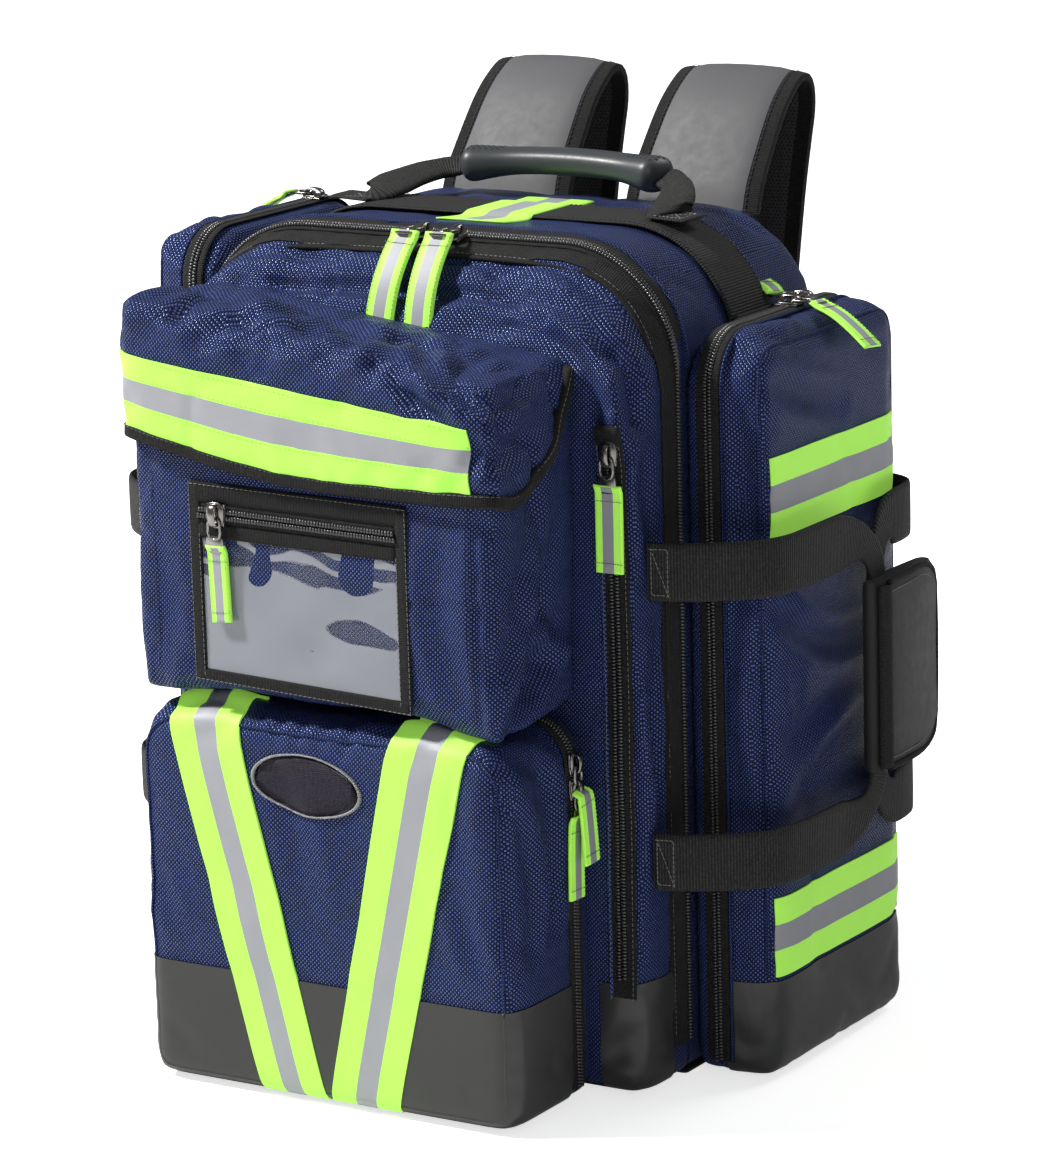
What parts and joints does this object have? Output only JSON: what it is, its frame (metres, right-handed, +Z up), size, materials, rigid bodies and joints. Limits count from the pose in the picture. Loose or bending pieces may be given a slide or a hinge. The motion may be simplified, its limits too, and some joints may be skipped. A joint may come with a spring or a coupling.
{
  "type": "trauma backpack",
  "caption": "Clamshell trauma backpack with a front section, flap pocket, lower pocket, side pockets, reflective trim, carry handles and padded shoulder straps.",
  "frame": {"origin": "on the ground under the middle of the pack: mid-width, on the flat underside of the base, 83 mm behind the rim of the clamshell", "axes": "+X to the right as seen from the front, the front face looks along -Y, the back panel along +Y, +Z up"},
  "size_m": [0.511, 0.4451, 0.592],
  "materials": {
    "navy_nylon": "woven, slight sheen",
    "black_pvc": "coated, satin",
    "black_webbing": "ribbed webbing, matt",
    "zip_black": "coil zip on woven tape",
    "reflective_tape": "fluorescent trim with silver centre stripe",
    "pull_tab": "sewn fluorescent ribbon with silver centre",
    "gunmetal": "polished dark cast metal",
    "clear_vinyl": "clear, glossy, slightly rippled",
    "strap_vinyl": "smooth coated outside, bound edges, mesh inside",
    "air_mesh": "open spacer mesh",
    "grip_rubber": "satin moulded rubber",
    "stiffener_sheet": "plain sheet",
    "divider_fabric": "brushed loop fabric over foam",
    "black_acetal": "moulded"
  },
  "bodies": {
    "root": {"main_shell": "navy_nylon", "base_panel": "black_pvc", "frame_sheet": "stiffener_sheet", "back_pad": "air_mesh", "divider_upper": "divider_fabric", "divider_lower": "divider_fabric", "hoop_webbing": "black_webbing", "main_zip_rear": "zip_black", "side_base_r": "navy_nylon", "side_lid_r": "navy_nylon", "side_tape_upper_r": "reflective_tape", "side_tape_lower_r": "reflective_tape", "side_base_l": "navy_nylon", "side_lid_l": "navy_nylon", "side_tape_upper_l": "reflective_tape", "side_tape_lower_l": "reflective_tape"},
    "front_section": {"lid_shell": "navy_nylon", "lid_zip": "zip_black", "lid_boot": "black_pvc", "slot_zip": "zip_black", "upper_pocket": "navy_nylon", "id_frame": "black_webbing", "id_window": "clear_vinyl", "lp_base": "navy_nylon", "lp_slider_a": "gunmetal"},
    "flap": {"flap_panel": "navy_nylon", "flap_tape": "reflective_tape"},
    "lower_panel": {"lp_panel": "navy_nylon", "lp_boot": "black_pvc", "lp_tape_l": "reflective_tape", "lp_tape_r": "reflective_tape"},
    "lp_pull_a": {"lp_pull_a": "pull_tab"},
    "top_handle": {"handle_webbing": "black_webbing", "handle_grip": "grip_rubber"},
    "strap_l": {"strap_pad_l": "strap_vinyl", "ladder_lock_l": "black_acetal"},
    "strap_web_l": {"strap_webbing_l": "black_webbing"},
    "strap_r": {"strap_pad_r": "strap_vinyl", "ladder_lock_r": "black_acetal"},
    "strap_web_r": {"strap_webbing_r": "black_webbing"},
    "side_handle_r": {"loop_front_r": "black_webbing", "grip_r": "black_pvc"},
    "rear_loop_r": {"loop_rear_r": "black_webbing"},
    "side_handle_l": {"loop_front_l": "black_webbing", "grip_l": "black_pvc"},
    "rear_loop_l": {"loop_rear_l": "black_webbing"},
    "main_slider_l": {"main_slider_l": "gunmetal"},
    "main_pull_l": {"main_pull_l": "pull_tab"},
    "main_slider_r": {"main_slider_r": "gunmetal"},
    "main_pull_r": {"main_pull_r": "pull_tab"},
    "window_slider": {"window_slider": "gunmetal"},
    "window_pull": {"window_pull": "pull_tab"},
    "slot_slider": {"slot_slider": "gunmetal"},
    "slot_pull": {"slot_pull": "pull_tab"},
    "lp_slider_b": {"lp_slider_b": "gunmetal"},
    "lp_pull_b": {"lp_pull_b": "pull_tab"},
    "side_slider_r": {"side_slider_r": "gunmetal"},
    "side_pull_r": {"side_pull_r": "pull_tab"},
    "side_slider_l": {"side_slider_l": "gunmetal"},
    "side_pull_l": {"side_pull_l": "pull_tab"}
  },
  "joints": [
    {"name": "front_open", "type": "hinge", "parent": "root", "child": "front_section", "pos_m": [0, -0.0862, 0], "axis": [1, 0, 0], "range_deg": [0, 110]},
    {"name": "flap_lift", "type": "hinge", "parent": "front_section", "child": "flap", "pos_m": [0, -0.1412, 0.47], "axis": [-1, 0, 0], "range_deg": [0, 90]},
    {"name": "lower_panel_open", "type": "hinge", "parent": "front_section", "child": "lower_panel", "pos_m": [0, -0.1613, 0.001], "axis": [1, 0, 0], "range_deg": [0, 85]},
    {"name": "main_slider_l_run", "type": "slide", "parent": "front_section", "child": "main_slider_l", "axis": [1, 0, 0], "range_m": [-0.085, 0]},
    {"name": "main_pull_l_flip", "type": "hinge", "parent": "main_slider_l", "child": "main_pull_l", "pos_m": [-0.004, -0.0926, 0.5228], "axis": [-1, 0, 0], "range_deg": [0, 110]},
    {"name": "main_slider_r_run", "type": "slide", "parent": "front_section", "child": "main_slider_r", "axis": [1, 0, 0], "range_m": [0, 0.07]},
    {"name": "main_pull_r_flip", "type": "hinge", "parent": "main_slider_r", "child": "main_pull_r", "pos_m": [0.019, -0.0926, 0.5228], "axis": [-1, 0, 0], "range_deg": [0, 110]},
    {"name": "window_slider_run", "type": "slide", "parent": "front_section", "child": "window_slider", "axis": [1, 0, 0], "range_m": [0, 0.115]},
    {"name": "window_pull_flip", "type": "hinge", "parent": "window_slider", "child": "window_pull", "pos_m": [-0.063, -0.241, 0.3644], "axis": [-1, 0, 0], "range_deg": [0, 120]},
    {"name": "slot_slider_run", "type": "slide", "parent": "front_section", "child": "slot_slider", "axis": [0, 0, 1], "range_m": [-0.3, 0]},
    {"name": "slot_pull_flip", "type": "hinge", "parent": "slot_slider", "child": "slot_pull", "pos_m": [0.1578, -0.1455, 0.4024], "axis": [-1, 0, 0], "range_deg": [0, 120]},
    {"name": "lp_pull_a_flip", "type": "hinge", "parent": "front_section", "child": "lp_pull_a", "pos_m": [0.1384, -0.1606, 0.2144], "axis": [0, -1, 0], "range_deg": [0, 110]},
    {"name": "lp_slider_b_run", "type": "slide", "parent": "front_section", "child": "lp_slider_b", "axis": [0, 0, 1], "range_m": [-0.11, 0]},
    {"name": "lp_pull_b_flip", "type": "hinge", "parent": "lp_slider_b", "child": "lp_pull_b", "pos_m": [0.1384, -0.1606, 0.1984], "axis": [0, -1, 0], "range_deg": [0, 110]},
    {"name": "side_slider_r_run", "type": "slide", "parent": "root", "child": "side_slider_r", "axis": [0, 1, 0], "range_m": [-0.06, 0]},
    {"name": "side_pull_r_flip", "type": "hinge", "parent": "side_slider_r", "child": "side_pull_r", "pos_m": [0.1888, 0.026, 0.47], "axis": [0, -1, 0], "range_deg": [0, 120]},
    {"name": "side_slider_l_run", "type": "slide", "parent": "root", "child": "side_slider_l", "axis": [0, 1, 0], "range_m": [-0.09, 0]},
    {"name": "side_pull_l_flip", "type": "hinge", "parent": "side_slider_l", "child": "side_pull_l", "pos_m": [-0.1888, 0.062, 0.51], "axis": [0, 1, 0], "range_deg": [0, 120]},
    {"name": "top_handle_swing", "type": "hinge", "parent": "root", "child": "top_handle", "pos_m": [0, 0.011, 0.5225], "axis": [1, 0, 0], "range_deg": [0, 155]},
    {"name": "strap_l_swing", "type": "hinge", "parent": "root", "child": "strap_l", "pos_m": [-0.07, 0.118, 0.521], "axis": [1, 0, 0], "range_deg": [0, 60]},
    {"name": "strap_web_l_adjust", "type": "slide", "parent": "strap_l", "child": "strap_web_l", "axis": [0, 0.2, 0.9798], "range_m": [0, 0.06]},
    {"name": "strap_r_swing", "type": "hinge", "parent": "root", "child": "strap_r", "pos_m": [0.07, 0.118, 0.521], "axis": [1, 0, 0], "range_deg": [0, 60]},
    {"name": "strap_web_r_adjust", "type": "slide", "parent": "strap_r", "child": "strap_web_r", "axis": [0, 0.2, 0.9798], "range_m": [0, 0.06]},
    {"name": "side_handle_r_swing", "type": "hinge", "parent": "front_section", "child": "side_handle_r", "pos_m": [0.1724, -0.13, 0.24], "axis": [0, 0, -1], "range_deg": [0, 60]},
    {"name": "rear_loop_r_swing", "type": "hinge", "parent": "root", "child": "rear_loop_r", "pos_m": [0.171, 0.11, 0.24], "axis": [0, 0, 1], "range_deg": [0, 60]},
    {"name": "side_handle_l_swing", "type": "hinge", "parent": "front_section", "child": "side_handle_l", "pos_m": [-0.1724, -0.13, 0.24], "axis": [0, 0, 1], "range_deg": [0, 60]},
    {"name": "rear_loop_l_swing", "type": "hinge", "parent": "root", "child": "rear_loop_l", "pos_m": [-0.171, 0.11, 0.24], "axis": [0, 0, -1], "range_deg": [0, 60]}
  ],
  "couplings": [
    {"joint": "rear_loop_r_swing", "follows": "side_handle_r_swing", "ratio": 1},
    {"joint": "rear_loop_l_swing", "follows": "side_handle_l_swing", "ratio": 1},
    {"joint": "lp_pull_a_flip", "follows": "lp_pull_b_flip", "ratio": 1}
  ]
}
